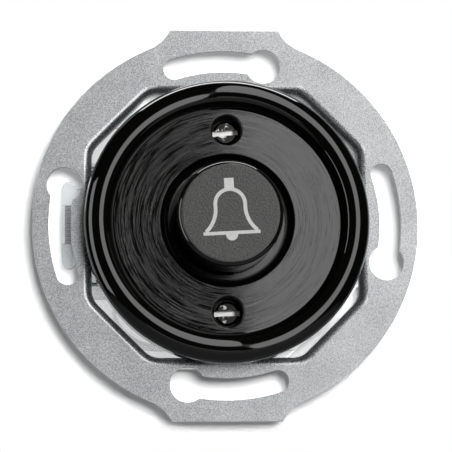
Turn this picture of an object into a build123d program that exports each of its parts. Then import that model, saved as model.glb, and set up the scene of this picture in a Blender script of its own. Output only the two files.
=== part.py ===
from build123d import *
import math
import os

# Flush bell push for a 60 mm wall box: a zinc-plated support ring, a black thermoset cover and
# button, and a clear contact base behind them. Each piece is drawn lying on its back, with x to
# the right, y to the top of the bell sign and z out of the wall from the ring's rear face. At the
# end every piece is stood up against the wall, facing -Y. Lengths are millimetres.

# Support ring, laid out from the screw circle of the wall box
FIXING_PCD = 60.0
SHEET = 1.0
SLOT_W = 4.0
SLOT_TAIL_DEG = 17.8
SLOT_KEY_DEG = 13.7
KEYHOLE_D = 6.4
SLOT_COUNT = 4
RIM_LAND = 1.8
COLLAR_LAND = 1.6
TAB_RISE = 0.75
TAB_W = 19.8
TAB_FLARE = 3.8
OPENING_SPREAD = 5.0
OPENING_CORNER_R = 4.0
COLLAR_H = 2.4
BEND_R = 1.5

# Front cover
COVER_LAP = 1.5
COVER_WALL_H = 3.4
RIM_R = 2.6
FLOOR_RISE = 0.6
FLOOR_T = 2.4
SKIRT_T = 2.6
WELL_W = 2.2
WELL_DEPTH = 2.2
WELL_EDGE_R = 0.3
WELL_COVE_R = 1.4
SLEEVE_T = 3.0
SLEEVE_DROP = 1.5

# Cover screws and the bushes that take them
SCREW_D = 3.0
SCREW_L = 9.2
SCREW_HEAD_D = 4.6
SCREW_HEAD_H = 2.0
DRIVER_SLOT_W = 0.8
DRIVER_SLOT_H = 1.0
COUNTERBORE_D = 5.5
COUNTERBORE_DROP = 2.2
COUNTERBORE_EDGE_R = 0.25
BOSS_D = 8.8
BOSS_FLOOR_T = 1.2
PILLAR_D = 8.0
BUSH_D = 4.6
BUSH_L = 8.0
UPPER_SLOT_DEG = 5.0
LOWER_SLOT_DEG = 2.0

# Push button and plunger
BUTTON_PROUD = 6.0
FACE_D = 16.8
SHOULDER_R = 1.0
BUTTON_TOP_T = 3.0
BUTTON_WALL = 2.0
BUTTON_FLANGE_W = 0.9
BUTTON_FLANGE_T = 1.6
BUTTON_TRAVEL = 2.5
PLUNGER_D = 4.0
PLUNGER_COLLAR_W = 1.2
PLUNGER_COLLAR_T = 1.0
SOCKET_WALL = 1.4
SOCKET_L = 4.0
SOCKET_DEPTH = 3.4

# Bell sign, let into the face and filled with white paint
SIGN_DEPTH = 0.3
SIGN_STROKE = 0.65
SIGN_DOME_R = 2.63
SIGN_DOME_Y = 1.58
SIGN_SIDE_Y = 0.9
SIGN_FLARE_R = 5.45
SIGN_LIP_W = 10.04
SIGN_LIP_Y = -3.86
SIGN_LIP_T = 0.6
SIGN_STEM_W = 1.7
SIGN_STEM_TOP_Y = 6.2
SIGN_CLAPPER_R = 1.08
SIGN_TURN_DEG = 3.0

# Return spring
SPRING_WIRE_D = 0.9
SPRING_MEAN_D = 10.8
SPRING_TURNS = 6.0
SPRING_LOCATOR_W = 0.8
SPRING_LOCATOR_H = 0.9

# Clear base
WALL = 1.8
CHAMBER_W = 37.0
POCKET_H = 6.4
BODY_CORNER_R = 8.0
TERMINAL_W = 6.0
TERMINAL_H = 20.0
BLOCK_CORNER_R = 3.0
BASE_FLANGE_LAP = 0.8
BASE_FLANGE_CUT = 4.1
BASE_FLANGE_T = 2.0
WING_TOP_Y = 18.0
BASE_FLOOR_T = 2.0
REAR_EDGE_R = 1.2
LEDGE_W = 0.8
LID_T = 1.2
RIB_T = 1.2
WIRE_ENTRY_W = 2.8
WIRE_FUNNEL_W = 0.5

# Contacts and terminals
BAR_T = 0.8
BAR_W = 4.0
LEAF_T = 0.4
LEAF_W = 5.0
LEAF_DROP = 0.75
TERMINAL_PITCH = 10.0
CONTACT_X = 5.0
ANCHOR_X = -11.5
ANCHOR_L = 5.0
BAR_RIVET_X = -8.0
BAR_STANDOFF = 4.2
TAB_FOOT_GAP = 1.5
TIP_D = 3.2
TIP_H = 0.8
TIP_SHANK_D = 1.6
TIP_CLINCH_H = 0.3
TIP_CLINCH_D = 2.4
RIVET_D = 2.0
RIVET_HEAD_D = 3.4
RIVET_HEAD_H = 0.6
RIVET_GRIP = 3.0
CLAMP_T = 0.4
CLAMP_W = 4.0
CLAMP_BEND_R = 1.0
CLAMP_TOP_DROP = 1.4
CLAMP_FOOT_RISE = 2.6

# Lid screws and their posts, clear of the contact bars
LID_SCREW_D = 1.8
LID_SCREW_L = 6.0
LID_SCREW_HEAD_D = 3.0
LID_SCREW_HEAD_H = 1.0
LID_SCREW_SLOT_W = 0.5
LID_SCREW_SLOT_H = 0.5
LID_POST_D = 3.6
LID_POST_GAP = 0.4
LID_POST_END_GAP = 1.2
LID_POST_SIDE_GAP = 0.5

# Release lever
LEVER_PAD_GAP = 1.8
LEVER_T = 1.2
LEVER_L = 16.0
LEVER_PAD_W = 2.6
LEVER_PAD_H = 0.6
LEVER_GRIP_L = 7.0
LEVER_GRIP_H = 0.5
LEVER_POCKET_W = 1.0
LEVER_POCKET_COUNT = 9
LEVER_RIB_T = 0.3
LEVER_TRAVEL = 1.0
LEVER_FOOT_W = 2.4
LEVER_FOOT_T = 1.2

# Clearances
BUTTON_CLEAR = 0.3
STOP_GAP = 0.1
LID_GAP = 0.2
LID_FIT = 0.15
LEVER_CLEAR = 0.2
CLAMP_GAP = 0.15
SCREW_HOLE_CLEAR = 0.15
THREAD_CLEAR = 0.05
PRESS_CLEAR = 0.02
PILLAR_GAP = 0.2
TOUCH_GAP = 0.05

# Heights from the wall plane
ring_front = SHEET
collar_rear = ring_front - COLLAR_H
rim_z = ring_front + COVER_WALL_H
rim_top = rim_z + RIM_R
well_z = rim_z + FLOOR_RISE
cover_under = rim_z - FLOOR_T
sleeve_end = cover_under - SLEEVE_DROP
head_seat = cover_under - COUNTERBORE_DROP
boss_end = head_seat - BOSS_FLOOR_T
pillar_top = boss_end - PILLAR_GAP
face_z = rim_top + BUTTON_PROUD
flange_top = sleeve_end - STOP_GAP
flange_low = flange_top - BUTTON_FLANGE_T
button_roof = face_z - BUTTON_TOP_T
socket_end = button_roof - SOCKET_L
lever_top = collar_rear - LEVER_CLEAR
lever_low = lever_top - LEVER_T
lid_front = min(flange_low - BUTTON_TRAVEL, lever_low - LEVER_TRAVEL) - LID_GAP
lid_under = lid_front - LID_T
leaf_top = lid_under - LEAF_DROP
leaf_low = leaf_top - LEAF_T
plunger_tip = leaf_top + TOUCH_GAP
leaf_bar_low = leaf_low - BAR_T
moving_tip_low = leaf_low - TIP_H
fixed_tip_top = moving_tip_low - BUTTON_TRAVEL - TOUCH_GAP
fixed_bar_top = fixed_tip_top - TIP_H
fixed_bar_low = fixed_bar_top - BAR_T
base_floor = fixed_bar_low - BAR_STANDOFF
base_rear = base_floor - BASE_FLOOR_T
base_flange_rear = collar_rear - BASE_FLANGE_T
tab_foot = base_floor + TAB_FOOT_GAP

# Radii and places across the face
ring_r = (FIXING_PCD + KEYHOLE_D) / 2 + RIM_LAND
collar_flats = FIXING_PCD - KEYHOLE_D - 2 * COLLAR_LAND
opening_flats = collar_flats - 2 * SHEET
opening_diagonals = opening_flats + OPENING_SPREAD
cover_r = opening_flats / 2 + COVER_LAP
rim_inner_r = cover_r - 2 * RIM_R
face_r = FACE_D / 2
button_r = face_r + SHOULDER_R
hole_r = button_r + BUTTON_CLEAR
well_r = hole_r + WELL_W
flange_r = hole_r + BUTTON_FLANGE_W
plunger_r = PLUNGER_D / 2
terminal_y = TERMINAL_PITCH / 2
chamber_x = CHAMBER_W / 2
lid_post_r = LID_POST_D / 2
lid_screw_x = chamber_x - LID_POST_END_GAP - lid_post_r
lid_screw_y = terminal_y + BAR_W / 2 + LID_POST_GAP + lid_post_r
chamber_y = lid_screw_y + lid_post_r + LID_POST_SIDE_GAP
screw_y = chamber_y + WALL + POCKET_H / 2
partition_x = -(chamber_x + WALL)
terminal_end_x = partition_x - TERMINAL_W
tab_x = partition_x - TOUCH_GAP
clamp_leg_x = terminal_end_x + TOUCH_GAP + CLAMP_T / 2
clamp_tip_x = tab_x - BAR_T - CLAMP_GAP - CLAMP_T / 2
clamp_top = lid_under - CLAMP_TOP_DROP
clamp_foot = base_floor + CLAMP_FOOT_RISE
lever_foot_x = (clamp_leg_x + clamp_tip_x) / 2
clamp_slope = (clamp_top - clamp_foot) / (clamp_tip_x - clamp_leg_x)
clamp_face = (clamp_top + clamp_foot) / 2 + CLAMP_T / 2 * math.hypot(1, clamp_slope)
lever_foot_low = clamp_face + clamp_slope * LEVER_FOOT_T / 2 + LEVER_CLEAR
TERMINALS = {"upper": 1, "lower": -1}


def slab(outline, low, high):
    """Solid of a flat outline between two heights."""
    return Pos(0, 0, low) * extrude(outline, high - low)


def rod(diameter, low, high, x=0.0, y=0.0):
    """Upright cylinder between two heights."""
    return Pos(x, y, low) * extrude(Circle(diameter / 2), high - low)


def rect(x_from, x_to, y_from, y_to):
    """Rectangle between two opposite corners."""
    return Pos((x_from + x_to) / 2, (y_from + y_to) / 2) * Rectangle(x_to - x_from, y_to - y_from)


def turned(points_and_arcs):
    """Solid of revolution about z from a closed profile of (radius, height) curves."""
    return revolve(Plane.XZ * make_face(points_and_arcs), Axis.Z)


def rounded_octagon(across_flats, across_diagonals, corner_r):
    """Octagon with four sides square to the axes and four at 45 degrees."""
    upright = Rectangle(across_flats, across_flats)
    diagonal = Rot(0, 0, 45) * Rectangle(across_diagonals, across_diagonals)
    octagon = upright & diagonal
    return fillet(octagon.vertices(), corner_r)


# Support ring
def ring_tab():
    """Flat-topped tab, swept into the ring's rim by a hollow curve on each side."""
    root_x = TAB_W / 2 + TAB_FLARE
    root_y = math.sqrt(ring_r**2 - root_x**2)
    corner_x = TAB_W / 2
    top = ring_r + TAB_RISE
    right = TangentArc((root_x, root_y), (corner_x, top), tangent=(-root_y, root_x))
    left = TangentArc((-root_x, root_y), (-corner_x, top), tangent=(root_y, root_x))
    crown = Line((corner_x, top), (-corner_x, top))
    foot = Line((-root_x, root_y), (root_x, root_y))
    return make_face([right, crown, left, foot])


def fixing_slot(index):
    """Curved screw slot with a keyhole at its clockwise end."""
    key_angle = 90 - SLOT_KEY_DEG
    arc = CenterArc((0, 0), FIXING_PCD / 2, key_angle, SLOT_KEY_DEG + SLOT_TAIL_DEG)
    keyhole = Pos(*(arc @ 0)) * Circle(KEYHOLE_D / 2)
    return Rot(0, 0, -360 * index / SLOT_COUNT) * (SlotArc(arc, SLOT_W) + keyhole)


def support_ring():
    """Pressed ring whose opening is drawn rearwards into a collar."""
    opening = rounded_octagon(opening_flats, opening_diagonals, OPENING_CORNER_R)
    collar_outline = offset(opening, SHEET)
    outline = Circle(ring_r) + ring_tab() + Rot(0, 0, 180) * ring_tab()
    for index in range(SLOT_COUNT):
        outline -= fixing_slot(index)
    ring = slab(outline - opening, 0, ring_front)
    ring += slab(collar_outline - opening, collar_rear, 0)
    openings = ring.faces().sort_by(Axis.Z)[-1].inner_wires()
    mouth = openings.sort_by(SortBy.LENGTH)[-1]
    return fillet(mouth.edges(), BEND_R)


# Front cover
def is_counterbore_mouth(edge):
    """Whether an edge is where a screw's counterbore breaks through the floor."""
    middle = edge.center(CenterOf.BOUNDING_BOX)
    on_screw_line = abs(middle.X) < COUNTERBORE_D / 2
    over_screw = abs(abs(middle.Y) - screw_y) < COUNTERBORE_D / 2
    return on_screw_line and over_screw and middle.Z > rim_z


def front_cover():
    """Moulded cover with a half-round rim, a slightly domed floor and a well for the button."""
    sleeve_r = hole_r + SLEEVE_T
    skirt_r = cover_r - SKIRT_T
    lip_r = well_r + WELL_EDGE_R
    lip_z = well_z - WELL_EDGE_R
    ledge_z = well_z - WELL_DEPTH
    cove_r = well_r - WELL_COVE_R
    cove_z = ledge_z + WELL_COVE_R
    middle_r = (rim_inner_r + lip_r) / 2
    dome_share = (middle_r**2 - lip_r**2) / (rim_inner_r**2 - lip_r**2)
    middle_z = well_z - FLOOR_RISE * dome_share
    profile = [
        Line((cover_r, ring_front), (cover_r, rim_z)),
        ThreePointArc((cover_r, rim_z), (cover_r - RIM_R, rim_top), (rim_inner_r, rim_z)),
        ThreePointArc((rim_inner_r, rim_z), (middle_r, middle_z), (lip_r, well_z)),
        TangentArc((well_r, lip_z), (lip_r, well_z), tangent=(0, 1)),
        Line((well_r, lip_z), (well_r, cove_z)),
        TangentArc((well_r, cove_z), (cove_r, ledge_z), tangent=(0, -1)),
        Polyline(
            (cove_r, ledge_z),
            (hole_r, ledge_z),
            (hole_r, sleeve_end),
            (sleeve_r, sleeve_end),
            (sleeve_r, cover_under),
            (skirt_r, cover_under),
            (skirt_r, ring_front),
            (cover_r, ring_front),
        ),
    ]
    cover = turned(profile)
    for y in (screw_y, -screw_y):
        cover += rod(BOSS_D, boss_end, cover_under, y=y)
    for y in (screw_y, -screw_y):
        cover -= rod(COUNTERBORE_D, head_seat, rim_top, y=y)
        cover -= rod(SCREW_D + 2 * SCREW_HOLE_CLEAR, boss_end, head_seat, y=y)
    mouths = cover.edges().filter_by(is_counterbore_mouth)
    return fillet(mouths, COUNTERBORE_EDGE_R)


def cover_screw(y, slot_deg):
    """Slotted cheese-head screw at the bottom of its counterbore."""
    head_top = head_seat + SCREW_HEAD_H
    screw = rod(SCREW_HEAD_D, head_seat, head_top, y=y)
    screw += rod(SCREW_D - 2 * THREAD_CLEAR, head_seat - SCREW_L, head_seat, y=y)
    groove = Rot(0, 0, slot_deg) * Rectangle(SCREW_HEAD_D, DRIVER_SLOT_W)
    return screw - slab(Pos(0, y) * groove, head_top - DRIVER_SLOT_H, head_top)


def threaded_bush(y):
    """Brass bush pressed into the base pillar."""
    bush = rod(BUSH_D, pillar_top - BUSH_L, pillar_top, y=y)
    return bush - rod(SCREW_D, pillar_top - BUSH_L, pillar_top, y=y)


# Push button
def sign_outline():
    """Hand bell: stem, domed outline with flared sides, lip and clapper."""
    lip_top = SIGN_LIP_Y + SIGN_LIP_T
    half_lip = SIGN_LIP_W / 2
    flare_drop = SIGN_SIDE_Y - lip_top
    flare_x = SIGN_DOME_R + SIGN_FLARE_R - math.sqrt(SIGN_FLARE_R**2 - flare_drop**2)
    sides = []
    for hand in (1, -1):
        start = (hand * SIGN_DOME_R, SIGN_SIDE_Y)
        sides.append(Line((hand * SIGN_DOME_R, SIGN_DOME_Y), start))
        sides.append(TangentArc(start, (hand * flare_x, lip_top), tangent=(0, -1)))
    dome = CenterArc((0, SIGN_DOME_Y), SIGN_DOME_R, 0, 180)
    outline = trace([dome] + sides, SIGN_STROKE)
    dome_top = SIGN_DOME_Y + SIGN_DOME_R
    outline += rect(-half_lip, half_lip, SIGN_LIP_Y, lip_top)
    outline += rect(-SIGN_STEM_W / 2, SIGN_STEM_W / 2, dome_top, SIGN_STEM_TOP_Y)
    outline += Pos(0, SIGN_LIP_Y) * Circle(SIGN_CLAPPER_R)
    clapper_top = rect(-SIGN_CLAPPER_R, SIGN_CLAPPER_R, lip_top, lip_top + SIGN_CLAPPER_R)
    outline -= clapper_top
    bounds = rect(-half_lip, half_lip, SIGN_LIP_Y - SIGN_CLAPPER_R, SIGN_STEM_TOP_Y)
    return Rot(0, 0, SIGN_TURN_DEG) * (outline & bounds)


def bell_symbol():
    """White filling of the engraved bell, flush with the face."""
    return slab(sign_outline(), face_z - SIGN_DEPTH, face_z)


def push_button():
    """Hollow cap with a rounded shoulder, a stop flange and a socket for the plunger."""
    shoulder_z = face_z - SHOULDER_R
    bore_r = button_r - BUTTON_WALL
    socket_r = plunger_r + SOCKET_WALL
    pin_r = plunger_r + PRESS_CLEAR
    pin_top = socket_end + SOCKET_DEPTH
    profile = [
        Line((0, face_z), (face_r, face_z)),
        TangentArc((face_r, face_z), (button_r, shoulder_z), tangent=(1, 0)),
        Polyline(
            (button_r, shoulder_z),
            (button_r, flange_top),
            (flange_r, flange_top),
            (flange_r, flange_low),
            (bore_r, flange_low),
            (bore_r, button_roof),
            (socket_r, button_roof),
            (socket_r, socket_end),
            (pin_r, socket_end),
            (pin_r, pin_top),
            (0, pin_top),
            (0, face_z),
        ),
    ]
    return turned(profile) - bell_symbol()


def plunger():
    """Nylon pin pressed into the button; its tip rests on the contact leaf."""
    collar_d = PLUNGER_D + 2 * PLUNGER_COLLAR_W
    pin_top = socket_end + SOCKET_DEPTH - TOUCH_GAP
    pin = rod(PLUNGER_D, plunger_tip, pin_top)
    return pin + rod(collar_d, socket_end - PLUNGER_COLLAR_T, socket_end)


def return_spring():
    """Open coil spring between the lid and the button's roof."""
    wire_r = SPRING_WIRE_D / 2
    low = lid_front + wire_r + TOUCH_GAP
    rise = button_roof - wire_r - TOUCH_GAP - low
    coil = Pos(0, 0, low) * Helix(rise / SPRING_TURNS, rise, SPRING_MEAN_D / 2)
    section = Plane(origin=coil @ 0, z_dir=coil % 0) * Circle(wire_r)
    return sweep(section, path=coil, is_frenet=True)


# Clear base
def cavity_outline():
    """Plan of the contact chamber and the terminal bay beside it."""
    bay = rect(terminal_end_x, -chamber_x, -TERMINAL_H / 2, TERMINAL_H / 2)
    return rect(-chamber_x, chamber_x, -chamber_y, chamber_y) + bay


def lid_outline():
    """Plan of the lid's seat: the cavity and the ledge round it."""
    return offset(cavity_outline(), LEDGE_W)


def lever_places():
    """Centres of the lever's two feet."""
    return [(lever_foot_x, hand * terminal_y) for hand in TERMINALS.values()]


def lid_screw_places():
    """Centres of the two lid screws, at opposite corners of the chamber."""
    return {"right": (lid_screw_x, lid_screw_y), "left": (-lid_screw_x, -lid_screw_y)}


def contact_posts():
    """Posts that carry the contact bars and the lid screws."""
    post_w = BAR_W
    anchor = Pos(ANCHOR_X, 0) * Rectangle(post_w, post_w)
    contact = Pos(CONTACT_X, 0) * Rectangle(post_w, post_w)
    middle = Pos(BAR_RIVET_X, -terminal_y) * Rectangle(post_w, post_w)
    posts = slab(anchor, base_floor, leaf_bar_low)
    posts += slab(contact, base_floor, fixed_bar_low)
    posts += slab(middle, base_floor, fixed_bar_low)
    for x, y in lid_screw_places().values():
        posts += rod(LID_POST_D, base_floor, lid_under, x, y)
    posts -= rod(RIVET_D, leaf_bar_low - RIVET_GRIP, leaf_bar_low, ANCHOR_X)
    posts -= rod(RIVET_D, fixed_bar_low - RIVET_GRIP, fixed_bar_low, BAR_RIVET_X, -terminal_y)
    screw_end = lid_front - LID_SCREW_L
    for x, y in lid_screw_places().values():
        posts -= rod(LID_SCREW_D, screw_end, lid_under, x, y)
    return posts


def wire_entry(hand):
    """Square wire entry with a funnel, through the rear of the terminal bay."""
    x = lever_foot_x
    y = hand * terminal_y
    throat = Rectangle(WIRE_ENTRY_W, WIRE_ENTRY_W)
    mouth_w = WIRE_ENTRY_W + 2 * WIRE_FUNNEL_W
    funnel_top = base_rear + WIRE_FUNNEL_W
    funnel = loft([Pos(0, 0, base_rear) * Rectangle(mouth_w, mouth_w), Pos(0, 0, funnel_top) * throat])
    return Pos(x, y) * (funnel + slab(throat, funnel_top, base_floor))


def base_flange():
    """Plan of the flange behind the collar, wider on the terminal side."""
    flats = collar_flats + 2 * BASE_FLANGE_LAP
    flange = rounded_octagon(flats, opening_diagonals - BASE_FLANGE_CUT, OPENING_CORNER_R)
    behind_collar = rounded_octagon(flats, opening_diagonals + 2 * SHEET, OPENING_CORNER_R)
    wing = behind_collar & rect(-flats / 2, 0, -flats / 2, WING_TOP_Y)
    return flange + wing


def base_housing():
    """Clear moulded cup: flange, contact chamber, screw pockets and terminal bay."""
    chamber_wall_y = chamber_y + WALL
    body_y = chamber_wall_y + POCKET_H + WALL
    body = RectangleRounded(-2 * partition_x, 2 * body_y, BODY_CORNER_R)
    block_w = TERMINAL_W + 2 * WALL
    block_x = terminal_end_x - WALL + block_w / 2
    block = Pos(block_x, 0) * RectangleRounded(block_w, TERMINAL_H + 2 * WALL, BLOCK_CORNER_R)
    shell = slab(body + block, base_rear, lid_front)
    shell = fillet(shell.faces().sort_by(Axis.Z)[0].outer_wire().edges(), REAR_EDGE_R)
    shell += slab(body, lid_front, collar_rear)
    shell += slab(base_flange(), base_flange_rear, collar_rear)
    inner = offset(body, -WALL) - rect(partition_x, -partition_x, -chamber_wall_y, chamber_wall_y)
    shell -= slab(inner, base_floor, collar_rear)
    shell -= slab(rect(-chamber_x, chamber_x, -chamber_y, chamber_y), base_floor, collar_rear)
    bay_inner = rect(terminal_end_x, partition_x, -TERMINAL_H / 2, TERMINAL_H / 2)
    shell -= slab(bay_inner, base_floor, collar_rear)
    shell -= slab(lid_outline(), lid_under, collar_rear)
    lever_half = LEVER_L / 2 + 2 * LEVER_CLEAR
    lever_bay = rect(-ring_r, partition_x, -lever_half, lever_half)
    shell -= slab(lever_bay, lid_front, collar_rear)
    shell += slab(rect(terminal_end_x, partition_x, -RIB_T / 2, RIB_T / 2), base_floor, lid_under)
    for y in (screw_y, -screw_y):
        shell += rod(PILLAR_D, base_floor, collar_rear, y=y)
        shell -= rod(PILLAR_D, pillar_top, collar_rear, y=y)
        shell -= rod(BUSH_D + 2 * PRESS_CLEAR, pillar_top - BUSH_L, pillar_top, y=y)
    shell += contact_posts()
    bar_half = BAR_W / 2 + TOUCH_GAP
    wall_span = (partition_x, -chamber_x)
    shell -= slab(rect(*wall_span, terminal_y - bar_half, terminal_y + bar_half), leaf_bar_low, lid_under)
    shell -= slab(rect(*wall_span, -terminal_y - bar_half, -terminal_y + bar_half), fixed_bar_low, lid_under)
    for hand in TERMINALS.values():
        shell -= wire_entry(hand)
    return shell


def contact_lid():
    """Plate that closes the chamber and seats the return spring."""
    plan = offset(lid_outline(), -LID_FIT)
    lid = slab(plan, lid_under, lid_front)
    locator_r = (SPRING_MEAN_D - SPRING_WIRE_D) / 2 - BUTTON_CLEAR
    ring = Circle(locator_r) - Circle(locator_r - SPRING_LOCATOR_W)
    lid += slab(ring, lid_front, lid_front + SPRING_LOCATOR_H)
    lid -= rod(PLUNGER_D + 2 * BUTTON_CLEAR, lid_under, lid_front)
    for x, y in lid_screw_places().values():
        lid -= rod(LID_SCREW_D + 2 * SCREW_HOLE_CLEAR, lid_under, lid_front, x, y)
    window = Rectangle(LEVER_FOOT_T + 2 * BUTTON_CLEAR, LEVER_FOOT_W + 2 * BUTTON_CLEAR)
    for x, y in lever_places():
        lid -= slab(Pos(x, y) * window, lid_under, lid_front)
    return lid


def lid_screw(place):
    """Small pan-head screw that holds the lid."""
    x, y = place
    top = lid_front + LID_SCREW_HEAD_H
    screw = rod(LID_SCREW_HEAD_D, lid_front, top, x, y)
    screw += rod(LID_SCREW_D - 2 * PRESS_CLEAR, lid_front - LID_SCREW_L + TOUCH_GAP, lid_front, x, y)
    groove = slab(Rectangle(LID_SCREW_HEAD_D, LID_SCREW_SLOT_W), top - LID_SCREW_SLOT_H, top)
    return screw - Pos(x, y) * groove


# Contacts and terminals
def terminal_tab(hand, top):
    """Upright end of a contact bar, against which the wire is clamped."""
    y = hand * terminal_y
    return slab(rect(tab_x - BAR_T, tab_x, y - BAR_W / 2, y + BAR_W / 2), tab_foot, top)


def leaf_terminal_bar():
    """Brass bar from the upper terminal to the leaf's anchor."""
    anchor_from = ANCHOR_X - ANCHOR_L / 2
    anchor_to = ANCHOR_X + ANCHOR_L / 2
    arm_top = terminal_y + BAR_W / 2
    arm = rect(tab_x, anchor_to, terminal_y - BAR_W / 2, arm_top)
    pad = rect(anchor_from, anchor_to, -LEAF_W / 2, arm_top)
    bar = slab(arm + pad, leaf_bar_low, leaf_low)
    bar += terminal_tab(1, leaf_low)
    return bar - rod(RIVET_D, leaf_bar_low, leaf_low, ANCHOR_X)


def fixed_contact_bar():
    """Brass bar from the lower terminal to the contact under the leaf's tip."""
    pad_from = CONTACT_X - BAR_W / 2
    pad_to = CONTACT_X + BAR_W / 2
    arm_low = -terminal_y - BAR_W / 2
    arm = rect(tab_x, pad_to, arm_low, -terminal_y + BAR_W / 2)
    pad = rect(pad_from, pad_to, arm_low, BAR_W / 2)
    bar = slab(arm + pad, fixed_bar_low, fixed_bar_top)
    bar += terminal_tab(-1, leaf_low)
    return bar - rod(RIVET_D, fixed_bar_low, fixed_bar_top, BAR_RIVET_X, -terminal_y)


def contact_leaf():
    """Springy leaf held at its anchor and pressed down by the plunger."""
    root = ANCHOR_X - ANCHOR_L / 2
    tip = CONTACT_X + LEAF_W / 2
    plan = rect(root, CONTACT_X, -LEAF_W / 2, LEAF_W / 2) + Pos(CONTACT_X, 0) * Circle(LEAF_W / 2)
    leaf = slab(plan & rect(root, tip, -LEAF_W / 2, LEAF_W / 2), leaf_low, leaf_top)
    leaf -= rod(RIVET_D, leaf_low, leaf_top, ANCHOR_X)
    return leaf - rod(TIP_SHANK_D, leaf_low, leaf_top, CONTACT_X)


def rivet(x, y, seat, work_low):
    """Round-head rivet through a bar and into its post."""
    shank = rod(RIVET_D - 2 * PRESS_CLEAR, work_low - RIVET_GRIP + TOUCH_GAP, seat, x, y)
    return shank + rod(RIVET_HEAD_D, seat, seat + RIVET_HEAD_H, x, y)


def moving_contact_tip():
    """Silver contact clinched through the leaf's tip."""
    tip = rod(TIP_D, moving_tip_low, leaf_low, CONTACT_X)
    tip += rod(TIP_SHANK_D - 2 * PRESS_CLEAR, leaf_low, leaf_top, CONTACT_X)
    return tip + rod(TIP_CLINCH_D, leaf_top, leaf_top + TIP_CLINCH_H, CONTACT_X)


def fixed_contact_tip():
    """Silver contact brazed on the fixed bar."""
    return rod(TIP_D, fixed_bar_top, fixed_tip_top, CONTACT_X)


def clamp_spring(hand):
    """Bent steel strip that holds a pushed-in wire against its terminal tab."""
    foot = base_floor + TOUCH_GAP
    path = FilletPolyline(
        (clamp_leg_x, foot),
        (clamp_leg_x, clamp_top),
        (clamp_tip_x, clamp_foot),
        radius=CLAMP_BEND_R,
    )
    strip = extrude(Plane.XZ * trace(path, CLAMP_T), CLAMP_W / 2, both=True)
    return Pos(0, hand * terminal_y) * strip


def release_lever():
    """Clear push lever that frees the wires, reached through the left fixing slot."""
    pad_inner = -(collar_flats / 2 + LEVER_PAD_GAP)
    outer = pad_inner - LEVER_PAD_W
    plate_inner = lever_foot_x + LEVER_FOOT_T / 2
    half = LEVER_L / 2
    end_r = LEVER_PAD_W / 2
    grip_half = LEVER_GRIP_L / 2
    pad_x = outer + LEVER_PAD_W / 2
    pad_top = lever_top + LEVER_PAD_H
    grip_top = pad_top + LEVER_GRIP_H
    pad = Pos(pad_x, 0) * SlotOverall(LEVER_L, LEVER_PAD_W, rotation=90)
    lever = slab(pad, lever_low, pad_top)
    lever += slab(rect(pad_x, plate_inner, -half + end_r, half - end_r), lever_low, lever_top)
    grip = rect(outer, pad_inner, -grip_half, grip_half)
    lever += slab(grip, lever_low, grip_top)
    pitch = LEVER_GRIP_L / LEVER_POCKET_COUNT
    pocket = Rectangle(LEVER_POCKET_W, pitch - LEVER_RIB_T)
    for index in range(LEVER_POCKET_COUNT):
        pocket_y = pitch * (index + 0.5) - grip_half
        lever -= slab(Pos(pad_x, pocket_y) * pocket, pad_top, grip_top)
    foot = Rectangle(LEVER_FOOT_T, LEVER_FOOT_W)
    for x, y in lever_places():
        lever += slab(Pos(x, y) * foot, lever_foot_low, lever_low)
    return lever


# All pieces, stood up with the front towards -Y
def pieces():
    """Every piece by its node name, lying on its back."""
    lid_places = lid_screw_places()
    made = {
        "support_ring": support_ring(),
        "front_cover": front_cover(),
        "cover_screw_upper": cover_screw(screw_y, UPPER_SLOT_DEG),
        "cover_screw_lower": cover_screw(-screw_y, LOWER_SLOT_DEG),
        "threaded_bush_upper": threaded_bush(screw_y),
        "threaded_bush_lower": threaded_bush(-screw_y),
        "push_button": push_button(),
        "bell_symbol": bell_symbol(),
        "plunger": plunger(),
        "return_spring": return_spring(),
        "base_housing": base_housing(),
        "contact_lid": contact_lid(),
        "leaf_terminal_bar": leaf_terminal_bar(),
        "contact_leaf": contact_leaf(),
        "leaf_rivet": rivet(ANCHOR_X, 0, leaf_top, leaf_bar_low),
        "moving_contact_tip": moving_contact_tip(),
        "fixed_contact_bar": fixed_contact_bar(),
        "bar_rivet": rivet(BAR_RIVET_X, -terminal_y, fixed_bar_top, fixed_bar_low),
        "fixed_contact_tip": fixed_contact_tip(),
        "release_lever": release_lever(),
    }
    for side, place in lid_places.items():
        made["lid_screw_" + side] = lid_screw(place)
    for side, hand in TERMINALS.items():
        made["clamp_spring_" + side] = clamp_spring(hand)
    return made


os.makedirs("parts", exist_ok=True)
for name, piece in pieces().items():
    export_step(Plane.XZ * piece, os.path.join("parts", name + ".step"))
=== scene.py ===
import logging
import math
from dataclasses import dataclass
from enum import Enum
from typing import Sequence

import bmesh
import bpy
from mathutils import Matrix, Vector


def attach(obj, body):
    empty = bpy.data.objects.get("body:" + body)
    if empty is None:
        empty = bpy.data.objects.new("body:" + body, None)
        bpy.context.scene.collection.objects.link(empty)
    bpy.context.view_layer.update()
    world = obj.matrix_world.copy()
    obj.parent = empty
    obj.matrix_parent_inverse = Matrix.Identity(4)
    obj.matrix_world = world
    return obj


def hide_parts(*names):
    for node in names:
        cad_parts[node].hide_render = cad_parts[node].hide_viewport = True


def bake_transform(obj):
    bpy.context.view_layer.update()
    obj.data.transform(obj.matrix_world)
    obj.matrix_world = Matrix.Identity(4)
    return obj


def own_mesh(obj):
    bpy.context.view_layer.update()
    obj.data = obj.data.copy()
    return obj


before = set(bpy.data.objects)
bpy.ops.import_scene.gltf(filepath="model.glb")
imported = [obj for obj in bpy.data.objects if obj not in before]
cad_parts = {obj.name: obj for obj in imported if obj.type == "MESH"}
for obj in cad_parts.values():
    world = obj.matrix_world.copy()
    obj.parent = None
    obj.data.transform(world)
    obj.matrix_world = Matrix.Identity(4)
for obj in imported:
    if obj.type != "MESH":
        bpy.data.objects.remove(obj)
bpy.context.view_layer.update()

MM = 0.001
MM_PER_M = 1000.0
MERGE_MM = 1e-4
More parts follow.
